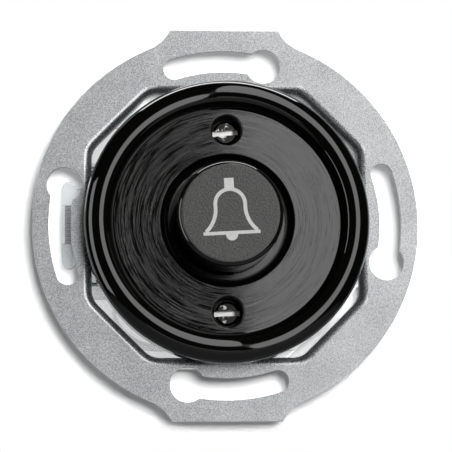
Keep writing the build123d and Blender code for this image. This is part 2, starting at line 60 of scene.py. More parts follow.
STRIP_SMOOTH_DEG = 40.0
PLASTIC_IOR = 1.58
STAND_UP = Matrix.Rotation(math.radians(90), 4, "X")
log = logging.getLogger("bell_push")

Colour = tuple[float, float, float]
Point = tuple[float, float]
Inputs = dict[str | int, object]


class Slot(Enum):
    """Material slots of the record."""

    ZINC = "zinc_plated_steel"
    COVER = "black_thermoset"
    BUTTON = "black_thermoset_button"
    PAINT = "white_paint"
    NICKEL = "nickel_plated_steel"
    TURNED_BRASS = "turned_brass"
    SHEET_BRASS = "sheet_brass"
    BRONZE = "phosphor_bronze"
    SILVER = "contact_silver"
    SPRING = "spring_steel"
    NYLON = "white_nylon"
    CLEAR = "clear_polycarbonate"


class Body(Enum):
    """Bodies that pieces ride on."""

    INSERT = "insert"
    BUTTON = "button"
    LEVER = "lever"


class Signal:
    """A node's output, usable in Python arithmetic."""

    def __init__(self, graph: "Graph", socket: bpy.types.NodeSocket) -> None:
        """Keeps the graph and the socket."""
        self.graph = graph
        self.socket = socket

    def math(self, operation: str, *others: "Signal | float", first: bool = True) -> "Signal":
        """Adds a Math node.

        Args:
            operation: Name of the Math operation.
            others: The other operands.
            first: Whether this signal is the first operand.

        Returns:
            The result.
        """
        operands = [self, *others] if first else [*others, self]
        return self.graph.node("ShaderNodeMath", {"operation": operation}, dict(enumerate(operands)))

    def __add__(self, other: "Signal | float") -> "Signal":
        """Sum."""
        return self.math("ADD", other)

    def __sub__(self, other: "Signal | float") -> "Signal":
        """Difference."""
        return self.math("SUBTRACT", other)

    def __rsub__(self, other: float) -> "Signal":
        """Difference from a number."""
        return self.math("SUBTRACT", other, first=False)

    def __mul__(self, other: "Signal | float") -> "Signal":
        """Product."""
        return self.math("MULTIPLY", other)

    def __truediv__(self, other: "Signal | float") -> "Signal":
        """Quotient."""
        return self.math("DIVIDE", other)

    def __rtruediv__(self, other: float) -> "Signal":
        """A number over this."""
        return self.math("DIVIDE", other, first=False)

    def __pow__(self, other: "Signal | float") -> "Signal":
        """Power."""
        return self.math("POWER", other)

    def __gt__(self, other: "Signal | float") -> "Signal":
        """One where this is greater."""
        return self.math("GREATER_THAN", other)

    __radd__ = __add__
    __rmul__ = __mul__

    def between(self, low: float, high: float) -> "Signal":
        """Smooth step from 0 at low to 1 at high."""
        inputs = {"Value": self, "From Min": low, "From Max": high}
        return self.graph.node("ShaderNodeMapRange", {"interpolation_type": "SMOOTHSTEP"}, inputs)


class Graph:
    """A node tree that nodes are added to."""

    def __init__(self, tree: bpy.types.NodeTree) -> None:
        """Keeps the tree and empties it."""
        self.tree = tree
        tree.nodes.clear()

    @staticmethod
    def find(sockets: Sequence[bpy.types.NodeSocket], key: str | int) -> bpy.types.NodeSocket:
        """Finds a socket.

        Args:
            sockets: The node's inputs or outputs.
            key: Index, identifier, or name of an enabled socket.

        Returns:
            The socket.
        """
        if isinstance(key, int):
            return sockets[key]
        for socket in sockets:
            if socket.identifier == key:
                return socket
        return next(s for s in sockets if s.name == key and s.enabled)

    def node(
        self,
        kind: str,
        settings: dict[str, object] | None = None,
        inputs: Inputs | None = None,
        output: str | int = 0,
    ) -> Signal:
        """Adds a node of any type.

        Args:
            kind: Node type.
            settings: Attributes of the node, which are set first.
            inputs: Values or signals by socket.
            output: The output that is returned.

        Returns:
            That output.
        """
        made = self.tree.nodes.new(kind)
        for name, value in (settings or {}).items():
            setattr(made, name, value)
        for key, value in (inputs or {}).items():
            socket = self.find(made.inputs, key)
            if isinstance(value, Signal):
                self.tree.links.new(value.socket, socket)
            else:
                socket.default_value = value
        return Signal(self, self.find(made.outputs, output) if made.outputs else None)

    def other(self, signal: Signal, output: str | int) -> Signal:
        """Another output of the same node."""
        return Signal(self, self.find(signal.socket.node.outputs, output))

    def axes(self) -> tuple[Signal, Signal, Signal]:
        """Object coordinates.

        Returns:
            Millimetres to the right, into the wall and up.
        """
        place = self.node("ShaderNodeTexCoord", output="Object")
        parts = self.node("ShaderNodeSeparateXYZ", inputs={0: place})
        return tuple(self.other(parts, axis) * MM_PER_M for axis in range(3))

    def vector(self, x: object, y: object, z: object) -> Signal:
        """Vector of three values."""
        return self.node("ShaderNodeCombineXYZ", inputs={0: x, 1: y, 2: z})

    def noise(self, place: Signal, scale: float, detail: float) -> Signal:
        """Soft noise about 0.5 at that many cells per unit."""
        inputs = {"Vector": place, "Scale": scale, "Detail": detail}
        return self.node("ShaderNodeTexNoise", inputs=inputs)

    def mix(self, share: object, low: object, high: object) -> Signal:
        """Mixes two colours.

        Args:
            share: Part of the second colour.
            low: First colour.
            high: Second colour.

        Returns:
            The mixed colour.
        """
        colours = [(*c, 1.0) if isinstance(c, tuple) and len(c) == 3 else c for c in (low, high)]
        inputs = {"Factor_Float": share, "A_Color": colours[0], "B_Color": colours[1]}
        return self.node("ShaderNodeMix", {"data_type": "RGBA"}, inputs, "Result_Color")

    def bump(self, height: Signal, depth_mm: float) -> Signal:
        """Normal of a height between 0 and 1 that is depth_mm deep."""
        return self.node("ShaderNodeBump", inputs={"Height": height, "Distance": depth_mm * MM})


@dataclass(frozen=True)
class Finish:
    """A finish of one material slot."""

    slot: Slot

    def paint(self, graph: Graph) -> Inputs:
        """Works out what the surface shader is given.

        Args:
            graph: The material's nodes.

        Returns:
            Values or signals by socket of the shader.
        """
        raise NotImplementedError

    def material(self) -> bpy.types.Material:
        """Makes the material.

        Returns:
            The material, or the one already made for this finish.
        """
        name = self.slot.value
        if name in bpy.data.materials:
            kept = bpy.data.materials[name]
            if kept.get("finished"):
                return kept
            kept.name = name + "_packed"
        made = bpy.data.materials.new(name)
        made["finished"] = True
        made.use_nodes = True
        graph = Graph(made.node_tree)
        shader = graph.node("ShaderNodeBsdfPrincipled", inputs=self.paint(graph))
        graph.node("ShaderNodeOutputMaterial", inputs={"Surface": self.lit(graph, shader)})
        return made

    def lit(self, graph: Graph, shader: Signal) -> Signal:
        """The surface as lamps meet it; opaque finishes keep the shader."""
        return shader


@dataclass(frozen=True)
class ZincPlate(Finish):
    """Dull zinc plating with a crystalline grain, smoother where the opening's edge is drawn, with
    painted shade darkening that edge.
    """

    slot: Slot = Slot.ZINC
    dull: Colour = (0.18, 0.187, 0.193)
    bright: Colour = (0.84, 0.855, 0.867)
    # colour of the painted shade on the drawn edge of the opening
    bend_shade: Colour = (0.055, 0.057, 0.060)
    grain_per_mm: float = 4.2
    sparkle_per_mm: float = 6.72
    cloud_per_mm: float = 0.16
    grain_mm: float = 0.02
    metallic: float = 0.8
    roughness: float = 0.48
    opening_flat: float = 24.2
    opening_diagonal: float = 26.7
    bend_w: float = 1.5
    rear_margin: float = 0.02
    bend_polish: float = 0.17
    bend_shade_share: float = 0.6

    def paint(self, graph: Graph) -> Inputs:
        """Grain, sparkle and faint clouding, smoother on the drawn edge, with painted shade darkening
        it.

        Args:
            graph: The material's nodes.

        Returns:
            The shader's inputs.
        """
        x, y, z = graph.axes()
        place = graph.vector(x, y, z)
        across, up = x.math("ABSOLUTE"), z.math("ABSOLUTE")
        flat = across.math("MAXIMUM", up) - self.opening_flat
        edge = flat.math("MAXIMUM", (across + up) * math.sqrt(0.5) - self.opening_diagonal)
        ahead = y * -1.0 > self.rear_margin
        bend = (1 - edge.between(self.bend_w * 0.9, self.bend_w)) * ahead
        # painted shade: mask that darkens the drawn edge of the opening
        painted_light_mask = (1 - edge.between(self.bend_w * 0.3, self.bend_w * 0.75)) * ahead
        grain = graph.noise(place, self.grain_per_mm, 4.0).between(0.28, 0.72)
        sparkle = graph.noise(place, self.sparkle_per_mm, 1.0).between(0.66, 0.78)
        cloud = graph.noise(place, self.cloud_per_mm, 3.0)
        plain = graph.mix(grain * 0.55 + sparkle * 0.6 + cloud * 0.25, self.dull, self.bright)
        height = (grain * 0.7 + sparkle * 0.3) * (1 - bend * 0.85)
        rough = self.roughness + (grain - 0.5) * 0.16 - sparkle * 0.12
        return {
            # lays the painted shade on the drawn edge
            "Base Color": graph.mix(painted_light_mask * self.bend_shade_share, plain, self.bend_shade),
            "Metallic": self.metallic,
            "Roughness": rough - bend * self.bend_polish,
            "Normal": graph.bump(height, self.grain_mm),
        }


@dataclass(frozen=True)
class CoverThermoset(Finish):
    """Polished black moulding whose floor carries fine turned rings."""

    slot: Slot = Slot.COVER
    black: Colour = (0.0018, 0.0018, 0.0015)
    haze: Colour = (0.0060, 0.0060, 0.0055)
    floor_from: float = 12.2
    floor_to: float = 20.0
    floor_fade: float = 0.5
    floor_front: float = 4.25
    well_r: float = 12.0
    well_front: float = 4.2
    well_fade: float = 0.8
    screw_z: float = 16.5
    screw_hole_r: float = 2.8
    ring_per_mm: float = 7.0
    ring_drift: float = 0.14
    ring_mm: float = 0.036
    marked_half_w: float = 7.0
    marked_less: float = 0.6
    dab_per_mm: float = 1.5
    dust_per_mm: float = 5.0
    smear_per_mm: float = 0.22
    gloss: float = 0.03
    satin: float = 0.075
    well_dull: float = 0.12
    hole_dull: float = 0.5

    def paint(self, graph: Graph) -> Inputs:
        """Gloss on the rim, satin rings on the floor, duller in the well and the screw holes.

        Args:
            graph: The material's nodes.

        Returns:
            The shader's inputs.
        """
        x, y, z = graph.axes()
        radius = (x * x + z * z) ** 0.5
        front = y * -1.0
        inside = radius.between(self.floor_from - self.floor_fade, self.floor_from)
        outside = 1 - radius.between(self.floor_to, self.floor_to + self.floor_fade)
        floor = inside * outside * (front > self.floor_front)
        deep = 1 - front.between(self.well_front - self.well_fade, self.well_front)
        well = (1 - (radius > self.well_r)) * deep
        up = z.math("ABSOLUTE") - self.screw_z
        hole = 1 - ((x * x + up * up) ** 0.5 > self.screw_hole_r)
        turned = graph.vector(radius * self.ring_per_mm, x * self.ring_drift, z * self.ring_drift)
        rings = graph.noise(turned, 1.0, 4.0).between(0.45, 0.8)
        place = graph.vector(x, y, z)
        dabs = graph.noise(place, self.dab_per_mm, 3.0)
        dust = graph.noise(place, self.dust_per_mm, 2.0).between(0.60, 0.80)
        smears = graph.noise(place, self.smear_per_mm, 2.0)
        marked = 1 - x.between(-self.marked_half_w, self.marked_half_w) * self.marked_less
        height = floor * (rings * marked * 0.85 + dabs * 0.12) + (1 - floor) * dabs * 0.012
        satin = self.satin - self.gloss + (smears - 0.5) * 0.08
        return {
            "Base Color": graph.mix(dust * 0.6 + floor * 0.4, self.black, self.haze),
            "Roughness": self.gloss + floor * satin + well * self.well_dull + hole * self.hole_dull,
            "IOR": PLASTIC_IOR,
            "Normal": graph.bump(height, self.ring_mm),
        }


@dataclass(frozen=True)
class ButtonThermoset(Finish):
    """Black moulding with a polished shoulder and a matte face."""

    slot: Slot = Slot.BUTTON
    black: Colour = (0.0045, 0.0045, 0.0040)
    matte: Colour = (0.060, 0.060, 0.058)
    face_front: float = 12.94
    grain_per_mm: float = 3.0
    grain_mm: float = 0.03
    rubbed_per_mm: float = 0.35
    gloss: float = 0.06
    matte_roughness: float = 0.46

    def paint(self, graph: Graph) -> Inputs:
        """Matte grain on the face alone.

        Args:
            graph: The material's nodes.

        Returns:
            The shader's inputs.
        """
        x, y, z = graph.axes()
        face = y * -1.0 > self.face_front
        place = graph.vector(x, y, z)
        grain = graph.noise(place, self.grain_per_mm, 4.0).between(0.3, 0.7)
        rubbed = graph.noise(place, self.rubbed_per_mm, 3.0)
        dull = self.matte_roughness - self.gloss + (rubbed - 0.5) * 0.12
        return {
            "Base Color": graph.mix(face * (rubbed * 0.35 + grain * 0.7), self.black, self.matte),
            "Roughness": self.gloss + face * dull,
            "IOR": PLASTIC_IOR,
            "Normal": graph.bump(face * grain, self.grain_mm),
        }


@dataclass(frozen=True)
class PaintFill(Finish):
    """White paint rubbed into the engraved sign."""

    slot: Slot = Slot.PAINT
    shade: Colour = (0.46, 0.46, 0.45)
    white: Colour = (0.63, 0.63, 0.62)
    patch_per_mm: float = 1.4
    grain_per_mm: float = 7.0
    grain_mm: float = 0.006
    roughness: float = 0.5

    def paint(self, graph: Graph) -> Inputs:
        """Slightly uneven white.

        Args:
            graph: The material's nodes.

        Returns:
            The shader's inputs.
        """
        place = graph.vector(*graph.axes())
        patch = graph.noise(place, self.patch_per_mm, 3.0)
        grain = graph.noise(place, self.grain_per_mm, 2.0)
        return {
            "Base Color": graph.mix(patch, self.shade, self.white),
            "Roughness": self.roughness + grain * 0.15,
            "Normal": graph.bump(grain, self.grain_mm),
        }


@dataclass(frozen=True)
class Metal(Finish):
    """Drawn, rolled or plated metal with fine scratches and patches of tarnish."""

    clean: Colour
    tarnish: Colour
    roughness: float
    scratch_per_mm: float = 5.0
    scratch_mm: float = 0.006
    along: tuple[float, float, float] = (0.15, 1.0, 1.0)
    stain_per_mm: float = 0.5
    wear: float = 0.5

    def paint(self, graph: Graph) -> Inputs:
        """Scratches along one direction and soft tarnish.

        Args:
            graph: The material's nodes.

        Returns:
            The shader's inputs.
        """
        x, y, z = graph.axes()
        drawn = graph.vector(x * self.along[0], y * self.along[1], z * self.along[2])
        scratch = graph.noise(drawn, self.scratch_per_mm, 3.0)
        stain = graph.noise(graph.vector(x, y, z), self.stain_per_mm, 3.0).between(0.4, 0.75)
        return {
            "Base Color": graph.mix(stain * self.wear + scratch * 0.25, self.clean, self.tarnish),
            "Metallic": 1.0,
            "Roughness": self.roughness + stain * 0.12 + (scratch - 0.5) * 0.12,
            "Normal": graph.bump(scratch, self.scratch_mm),
        }


@dataclass(frozen=True)
class ScrewPlate(Metal):
    """Plating with painted shade on the exposed heads and the slots' right ends, painted glints on the
    heads' left and a painted highlight in the driver's slot.
    """

    head_front: float = 1.4
    head_fade: float = 0.15
    slot_front: float = 0.95
    # colour of the painted shade on the heads
    head_shade: Colour = (0.022, 0.022, 0.020)
    # colour of the painted highlight in the slots
    rubbed: Colour = (0.60, 0.59, 0.575)
    glint_per_mm: float = 1.1
    glint_until: Point = (-0.2, 0.9)
    glint_share: float = 0.8
    slot_shade_from: Point = (0.9, 1.6)
    slot_highlight_share: float = 0.7
    slot_haze: float = 0.6

    def paint(self, graph: Graph) -> Inputs:
        """Painted shade on the heads but for painted glints on their left, and a painted highlight in
        the slots.

        Args:
            graph: The material's nodes.

        Returns:
            The shader's inputs.
        """
        x, y, z = graph.axes()
        front = y * -1.0
        head = front.between(self.head_front - self.head_fade, self.head_front)
        slot = (front > self.slot_front) * (1 - head)
        # painted glints: patches on the heads' left where the painted shade is left out
        glint_patches = graph.noise(graph.vector(x, y, z), self.glint_per_mm, 2.0).between(0.52, 0.62)
        painted_light_mask = glint_patches * (1 - x.between(*self.glint_until))
        # painted shade on the heads and on the right ends of the slots
        head_and_slot_shade = slot * x.between(*self.slot_shade_from) + head * (1 - painted_light_mask * self.glint_share)
        given = super().paint(graph)
        # painted highlight in the slots
        clean = graph.mix(slot * self.slot_highlight_share, given["Base Color"], self.rubbed)
        given["Base Color"] = graph.mix(head_and_slot_shade, clean, self.head_shade)
        given["Metallic"] = 1 - slot * self.slot_haze
        return given


@dataclass(frozen=True)
class Nylon(Finish):
    """Moulded white nylon."""

    slot: Slot = Slot.NYLON
    white: Colour = (0.80, 0.80, 0.76)
    cream: Colour = (0.70, 0.69, 0.63)
    flow_per_mm: float = 0.7
    flow_mm: float = 0.008
    roughness: float = 0.36
    depth_share: float = 0.15
    depth_mm: float = 1.0

    def paint(self, graph: Graph) -> Inputs:
        """Faint flow marks in a soft white.

        Args:
            graph: The material's nodes.

        Returns:
            The shader's inputs.
        """
        x, y, z = graph.axes()
        flow = graph.noise(graph.vector(x, y * 0.3, z), self.flow_per_mm, 3.0)
        return {
            "Base Color": graph.mix(flow, self.white, self.cream),
            "Roughness": self.roughness + flow * 0.14,
            "Subsurface Weight": self.depth_share,
            "Subsurface Scale": self.depth_mm * MM,
            "Normal": graph.bump(flow, self.flow_mm),
        }


@dataclass(frozen=True)
class ClearMoulding(Finish):
    """Clear moulded plastic with faint flow lines."""

    slot: Slot = Slot.CLEAR
    clear: Colour = (0.86, 0.87, 0.873)
    smoky: Colour = (0.68, 0.695, 0.70)
    # colour of the painted shade in the lever's grip pockets
    pocket_shade: Colour = (0.20, 0.205, 0.21)
    foot: Colour = (0.50, 0.51, 0.515)
    grip_x: float = -28.5
    grip_half_w: float = 0.55
    grip_half_l: float = 3.5
    grip_depth: float = 1.2
    foot_reach: float = 1.0
    flow_per_mm: float = 0.35
    flow_mm: float = 0.02
    rubbed_per_mm: float = 1.1
    roughness: float = 0.05
    clearness: float = 0.92

    def paint(self, graph: Graph) -> Inputs:
        """Clear with soft streaks and rubbed patches, with painted shade in the lever's pockets, and
        greyer on its foot.

        Args:
            graph: The material's nodes.

        Returns:
            The shader's inputs.
        """
        x, y, z = graph.axes()
        shallow = 1 - (y > self.grip_depth)
        across = 1 - ((x - self.grip_x).math("ABSOLUTE") > self.grip_half_w)
        along = 1 - (z.math("ABSOLUTE") > self.grip_half_l)
        # painted shade: mask of the lever's grip pockets
        pocket_shade = across * along * shallow
        outer = 1 - (x > self.grip_x + self.foot_reach)
        foot = shallow * (1 - (z > -self.grip_half_l)) * outer
        flow = graph.noise(graph.vector(x * 0.5, y * 1.6, z), self.flow_per_mm, 3.0)
        rubbed = graph.noise(graph.vector(x, y, z), self.rubbed_per_mm, 2.0).between(0.55, 0.8)
        plain = graph.mix(foot, graph.mix(flow, self.clear, self.smoky), self.foot)
        return {
            "Base Color": graph.mix(pocket_shade, plain, self.pocket_shade),
            "Roughness": self.roughness + rubbed * 0.1,
            "IOR": PLASTIC_IOR,
            "Transmission Weight": self.clearness,
            "Normal": graph.bump(flow, self.flow_mm),
        }

    def lit(self, graph: Graph, shader: Signal) -> Signal:
        """Lets most lamp light through, as clear plastic does.

        Args:
            graph: The material's nodes.
            shader: The surface shader.

        Returns:
            The shader, open to shadow rays.
        """
        shadow = graph.node("ShaderNodeLightPath", output="Is Shadow Ray")
        through = graph.node("ShaderNodeBsdfTransparent", inputs={"Color": (*self.smoky, 1.0)})
        return graph.node("ShaderNodeMixShader", inputs={0: shadow, 1: shader, 2: through})


ZINC = ZincPlate()
COVER = CoverThermoset()
BUTTON = ButtonThermoset()
PAINT = PaintFill()
NICKEL = ScrewPlate(
    Slot.NICKEL, (0.68, 0.67, 0.65), (0.30, 0.29, 0.27), roughness=0.12, scratch_per_mm=2.6
)
TURNED_BRASS = Metal(Slot.TURNED_BRASS, (0.80, 0.60, 0.29), (0.47, 0.31, 0.13), roughness=0.24)
SHEET_BRASS = Metal(Slot.SHEET_BRASS, (0.82, 0.63, 0.31), (0.50, 0.34, 0.15), roughness=0.28)
BRONZE = Metal(Slot.BRONZE, (0.78, 0.50, 0.31), (0.45, 0.25, 0.15), roughness=0.28)
SILVER = Metal(Slot.SILVER, (0.86, 0.85, 0.82), (0.52, 0.50, 0.46), roughness=0.3)
SPRING = Metal(
    Slot.SPRING, (0.58, 0.58, 0.58), (0.27, 0.26, 0.25), roughness=0.3, along=(1.0, 1.0, 0.2)
)
NYLON = Nylon()
CLEAR = ClearMoulding()


def dress(finish: Finish, *names: str) -> None:
    """Gives CAD nodes a finish.

    Args:
        finish: The finish.
        names: Nodes that take it.
    """
    for name in names:
        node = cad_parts[name]
        node.data.materials.clear()
        node.data.materials.append(finish.material())
        log.info("dressed %s in %s", name, finish.slot.value)


def place_piece(name: str, mesh: bpy.types.Mesh, finish: Finish) -> bpy.types.Object:
    """Puts a finished mesh in the scene.

    Args:
        name: Name of the piece.
        mesh: Mesh drawn lying on its back, in millimetres.
        finish: Its finish.

    Returns:
        The piece, standing up and in metres.
    """
    mesh.transform(STAND_UP @ Matrix.Scale(MM, 4))
    mesh.materials.clear()
    mesh.materials.append(finish.material())
    mesh.name = name
    piece = bpy.data.objects.new(name, mesh)
    bpy.context.scene.collection.objects.link(piece)
    log.info("made %s with %d faces", name, len(mesh.polygons))
    return piece


def stand_for(piece: bpy.types.Object, body: Body, *nodes: str) -> None:
    """Lets a piece ride on a body in place of CAD nodes."""
    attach(piece, body.value)
    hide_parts(*nodes)


class Recipe(Graph):
    """A Geometry Nodes tree with named sizes."""

    def __init__(self, name: str, sizes: Sequence[str]) -> None:
        """Makes the tree.

        Args:
            name: Name of the tree.
            sizes: Names of its size inputs.
        """
        tree = bpy.data.node_groups.new(name, "GeometryNodeTree")
        super().__init__(tree)
        for size in sizes:
            tree.interface.new_socket(size, in_out="INPUT", socket_type="NodeSocketFloat")
        tree.interface.new_socket("Finish", in_out="INPUT", socket_type="NodeSocketMaterial")
        tree.interface.new_socket("Shape", in_out="OUTPUT", socket_type="NodeSocketGeometry")
        start = tree.nodes.new("NodeGroupInput")
        self.finish = Signal(self, self.find(start.outputs, "Finish"))
        self.sizes = [Signal(self, self.find(start.outputs, size)) for size in sizes]

    def lift(self, shape: Signal, height: object) -> Signal:
        """Moves a shape up."""
        inputs = {"Geometry": shape, "Translation": self.vector(0.0, 0.0, height)}
        return self.node("GeometryNodeTransform", inputs=inputs)

    def join(self, *shapes: Signal) -> Signal:
        """Joins shapes.

        Args:
            shapes: The shapes.

        Returns:
            One shape.
        """
        joined = self.node("GeometryNodeJoinGeometry")
        for shape in shapes:
            self.tree.links.new(shape.socket, joined.socket.node.inputs[0])
        return joined

    def close(self, shape: Signal) -> None:
        """Ends the tree with real geometry that has the finish on it.

        Args:
            shape: The whole shape.
        """
        real = self.node("GeometryNodeRealizeInstances", inputs={0: shape})
        inputs = {"Geometry": real, "Material": self.finish}
        painted = self.node("GeometryNodeSetMaterial", inputs=inputs)
        self.node("NodeGroupOutput", inputs={"Shape": painted})

    def bake(self, finish: Finish, values: Sequence[float], smooth_deg: float) -> bpy.types.Mesh:
        """Runs the tree.

        Args:
            finish: Finish of the result.
            values: Values of the sizes, in their order.
            smooth_deg: Edges flatter than this are shaded smooth.

        Returns:
            A plain mesh.
        """
        blank = bpy.data.objects.new("blank", bpy.data.meshes.new("blank"))
        bpy.context.scene.collection.objects.link(blank)
        modifier = blank.modifiers.new("shape", "NODES")
        modifier.node_group = self.tree
        inputs = [s for s in self.tree.interface.items_tree if s.in_out == "INPUT"]
        for socket, value in zip(inputs, (*values, finish.material())):
            modifier[socket.identifier] = value
        blank.update_tag()
        depsgraph = bpy.context.evaluated_depsgraph_get()
        mesh = bpy.data.meshes.new_from_object(blank.evaluated_get(depsgraph))
        blank.modifiers.remove(modifier)
        bpy.data.objects.remove(blank)
        return tidy(mesh, smooth_deg)


def tidy(mesh: bpy.types.Mesh, smooth_deg: float) -> bpy.types.Mesh:
    """Merges doubles, turns faces outwards and sets the shading.

    Args:
        mesh: Mesh to tidy.
        smooth_deg: Edges flatter than this are shaded smooth.

    Returns:
        The same mesh.
    """
    work = bmesh.new()
    work.from_mesh(mesh)
    bmesh.ops.remove_doubles(work, verts=work.verts, dist=MERGE_MM)
    bmesh.ops.recalc_face_normals(work, faces=work.faces)
    for face in work.faces:
        face.smooth = True
    for edge in work.edges:
        between_two = len(edge.link_faces) == 2
        edge.smooth = between_two and edge.calc_face_angle(0.0) < math.radians(smooth_deg)
    work.to_mesh(mesh)
    work.free()
    return mesh


@dataclass
class SupportFrame:
    """The pressed ring that is screwed to the wall box."""

    ring: str = "support_ring"

    def build(self) -> None:
        """Dresses the ring."""
        dress(ZINC, self.ring)


@dataclass
class SlottedScrew:
    """A slotted cheese-head screw with a rolled thread; millimetres, lying on its back."""

    name: str
    place: Point
    seat: float
    head_d: float
    head_h: float
    slot_w: float
    slot_h: float
    shank_d: float
    shank_l: float
    pitch: float
    slot_deg: float = 0.0
    crown: float = 0.25

    SIZES = (
        "Head Radius", "Head Height", "Crown", "Slot Width", "Slot Height",
        "Root Radius", "Length", "Pitch",
    )
    RIDGE_SHARE = 0.34
    SMOOTH_DEG = 40.0

    @staticmethod
    def recipe() -> Recipe:
        """Head with a chamfered edge and a cut slot, and a helical thread below it.

        Returns:
            The recipe.
        """
        tree = Recipe("slotted_screw", SlottedScrew.SIZES)
        radius, height, crown, slot_w, slot_h, root, length, pitch = tree.sizes
        unit = {"Vertices": 48, "Side Segments": 2, "Radius": 1.0, "Depth": 2.0}
        drum = tree.node("GeometryNodeMeshCylinder", inputs=unit)
        place = tree.node("ShaderNodeSeparateXYZ", inputs={0: tree.node("GeometryNodeInputPosition")})
        x, y, z = place, tree.other(place, 1), tree.other(place, 2)
        over = z.math("MAXIMUM", 0.0)
        wide = radius - crown * over
        tall = (height - crown) * (z + 1.0).math("MINIMUM", 1.0) + crown * over
        shaped = {"Geometry": drum, "Position": tree.vector(x * wide, y * wide, tall)}
        head = tree.node("GeometryNodeSetPosition", inputs=shaped)
        size = tree.vector(radius * 4, slot_w, slot_h * 2)
        bar = tree.node("GeometryNodeMeshCube", inputs={"Size": size})
        solids = {"Mesh 1": head, "Mesh 2": tree.lift(bar, height)}
        cut = tree.node("GeometryNodeMeshBoolean", {"operation": "DIFFERENCE"}, solids, "Mesh")
        shank = {"Vertices": 32, "Radius": root, "Depth": length}
        core = tree.lift(tree.node("GeometryNodeMeshCylinder", inputs=shank), length * -0.5)
        thread_l = length - pitch * 2
        path = {"Resolution": 24, "Rotations": thread_l / pitch, "Height": thread_l}
        path["Start Radius"] = path["End Radius"] = root
        helix = tree.node("GeometryNodeCurveSpiral", inputs=path)
        upright = tree.node("GeometryNodeSetCurveNormal", {"mode": "Z_UP"}, {"Curve": helix})
        section = {"Resolution": 4, "Radius": pitch * SlottedScrew.RIDGE_SHARE}
        ridge = tree.node("GeometryNodeCurvePrimitiveCircle", inputs=section)
        sweep = {"Curve": upright, "Profile Curve": ridge, "Fill Caps": True}
        thread = tree.node("GeometryNodeCurveToMesh", inputs=sweep)
        tree.close(tree.join(cut, core, tree.lift(thread, pitch * 0.5 - length)))
        return tree

    def build(self, tree: Recipe) -> None:
        """Makes the screw and lets it stand for its CAD node.

        Args:
            tree: The screw recipe.
        """
        head = (self.head_d / 2, self.head_h, self.crown, self.slot_w, self.slot_h)
        root_r = self.shank_d / 2 - self.pitch * self.RIDGE_SHARE
        values = (*head, root_r, self.shank_l, self.pitch)
        mesh = tree.bake(NICKEL, values, self.SMOOTH_DEG)
        mesh.transform(Matrix.Rotation(math.radians(self.slot_deg), 4, "Z"))
        mesh.transform(Matrix.Translation((*self.place, self.seat)))
        screw = place_piece(self.name + "_turned", mesh, NICKEL)
        stand_for(screw, Body.INSERT, self.name)


@dataclass
class KnurledBush:
    """A brass bush with two knurled bands, pressed into its pillar."""

    name: str
    place: Point
    top: float = -1.6
    length: float = 8.0
    outer_d: float = 4.6
    bore_d: float = 3.0
    ridge_h: float = 0.16
    band: float = 2.8
    ridges: int = 30

    SIZES = ("Outer Radius", "Bore Radius", "Length", "Band", "Ridge Height", "Ridges")
    PRISM_SHARE = 1.4
    MARGIN_SHARE = 4.0
    SMOOTH_DEG = 35.0

    @staticmethod
    def recipe() -> Recipe:
        """A tube with ridges repeated round it in two bands.

        Returns:
            The recipe.
        """
        tree = Recipe("knurled_bush", KnurledBush.SIZES)
        outer, bore, length, band, ridge_h, ridges = tree.sizes
        body_r = outer - ridge_h
        ring = {"Resolution": 48, "Radius": (body_r + bore) / 2}
        wall = {"Width": body_r - bore, "Height": length}
        sweep = {
            "Curve": tree.node("GeometryNodeCurvePrimitiveCircle", inputs=ring),
            "Profile Curve": tree.node("GeometryNodeCurvePrimitiveQuadrilateral", inputs=wall),
        }
        tube = tree.node("GeometryNodeCurveToMesh", inputs=sweep)
        prism_r = ridge_h * KnurledBush.PRISM_SHARE
        round_it = {"Vertices": ridges, "Radius": outer - prism_r}
        spots = tree.node("GeometryNodeMeshCircle", inputs=round_it)
        turn = tree.vector(0.0, 0.0, tree.node("GeometryNodeInputIndex") * math.tau / ridges)
        four_sided = {"Vertices": 4, "Radius": prism_r, "Depth": band}
        prism = tree.node("GeometryNodeMeshCylinder", inputs=four_sided)
        repeat = {"Points": spots, "Instance": prism, "Rotation": turn}
        apart = length - band - ridge_h * KnurledBush.MARGIN_SHARE
        bands = []
        for end in (0.5, -0.5):
            made = tree.node("GeometryNodeInstanceOnPoints", inputs=repeat)
            bands.append(tree.lift(made, apart * end))
        tree.close(tree.join(tube, *bands))
        return tree

    def build(self, tree: Recipe) -> None:
        """Makes the bush and lets it stand for its CAD node.

        Args:
            tree: The bush recipe.
        """
        values = (self.outer_d / 2, self.bore_d / 2, self.length, self.band, self.ridge_h, self.ridges)
        mesh = tree.bake(TURNED_BRASS, values, self.SMOOTH_DEG)
        mesh.transform(Matrix.Translation((*self.place, self.top - self.length / 2)))
        bush = place_piece(self.name + "_knurled", mesh, TURNED_BRASS)
        stand_for(bush, Body.INSERT, self.name)


@dataclass
class CoverGroup:
    """The black cover with its two screws and the bushes that take them."""

    screw_y: float = 16.5
    upper_slot_deg: float = 5.0
    lower_slot_deg: float = 2.0

    def build(self, screws: Recipe) -> None:
        """Dresses the cover and makes screws and bushes.

        Args:
            screws: The screw recipe.
        """
        dress(COVER, "front_cover")
        bushes = KnurledBush.recipe()
        upper = ("upper", self.screw_y, self.upper_slot_deg)
        lower = ("lower", -self.screw_y, self.lower_slot_deg)
        for side, y, slot_deg in (upper, lower):
            screw = SlottedScrew(
                "cover_screw_" + side, (0.0, y), seat=-0.2, head_d=4.6, head_h=2.0, slot_w=0.95,
                slot_h=0.75, shank_d=2.9, shank_l=9.2, pitch=0.5, slot_deg=slot_deg, crown=0.5,
            )
            screw.build(screws)
            KnurledBush("threaded_bush_" + side, (0.0, y)).build(bushes)


